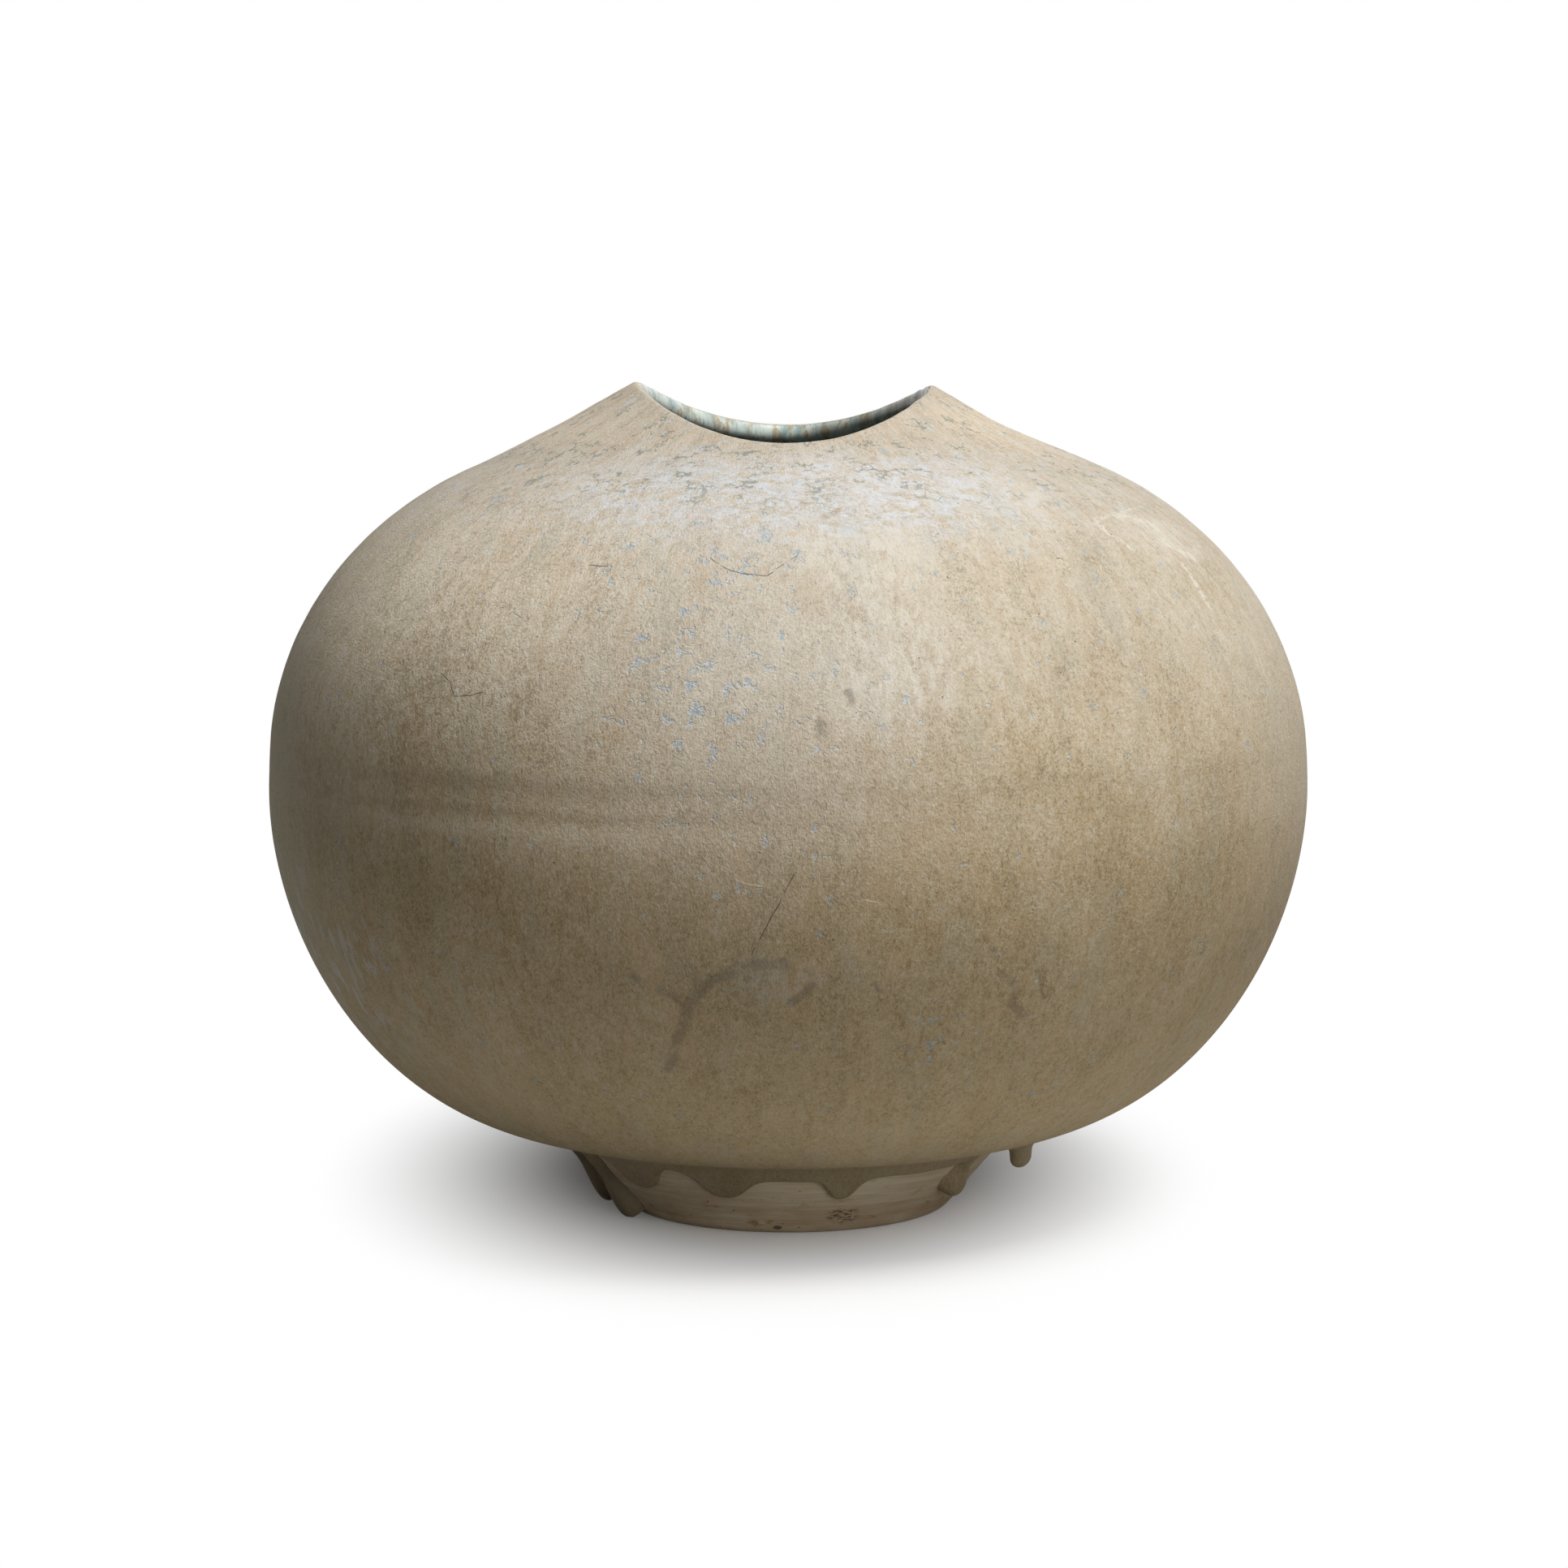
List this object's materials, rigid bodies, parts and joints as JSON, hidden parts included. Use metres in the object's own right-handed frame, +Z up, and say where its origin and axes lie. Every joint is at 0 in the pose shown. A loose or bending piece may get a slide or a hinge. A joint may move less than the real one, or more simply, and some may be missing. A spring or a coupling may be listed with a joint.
{
  "type": "ceramic pot",
  "caption": "Wide round stoneware pot on a small flared foot, with a saddle-shaped mouth and dry tan glaze that ran down the foot in drips; holds stems, water or dry goods.",
  "frame": {"origin": "centre of the foot's resting ring, on the surface that the pot stands on", "axes": "+Z up along the pot's turning axis; the front faces -Y, and the lip's two points lie along X"},
  "size_m": [0.4, 0.4, 0.318],
  "materials": {
    "bare_clay": "dry, unglazed",
    "luting_slip": "dry, unglazed",
    "tan_glaze": "dry matt, streaked",
    "blue_green_glaze": "glossy, streaked"
  },
  "bodies": {
    "root": {"foot_ring": "bare_clay", "foot_slip_joint": "luting_slip", "lower_bowl": "bare_clay", "belly_slip_joint": "luting_slip", "upper_bowl": "bare_clay", "neck_slip_joint": "luting_slip", "mouth_collar": "bare_clay", "outer_glaze": "tan_glaze", "inner_glaze": "blue_green_glaze", "lip_glaze": "tan_glaze", "glaze_run_01": "tan_glaze", "glaze_run_02": "tan_glaze", "glaze_run_03": "tan_glaze", "glaze_run_04": "tan_glaze", "glaze_run_05": "tan_glaze", "glaze_run_06": "tan_glaze", "glaze_run_07": "tan_glaze", "glaze_run_08": "tan_glaze", "glaze_run_09": "tan_glaze", "glaze_run_10": "tan_glaze", "glaze_run_11": "tan_glaze", "glaze_run_12": "tan_glaze", "hanging_glaze_drop": "tan_glaze"}
  },
  "joints": []
}
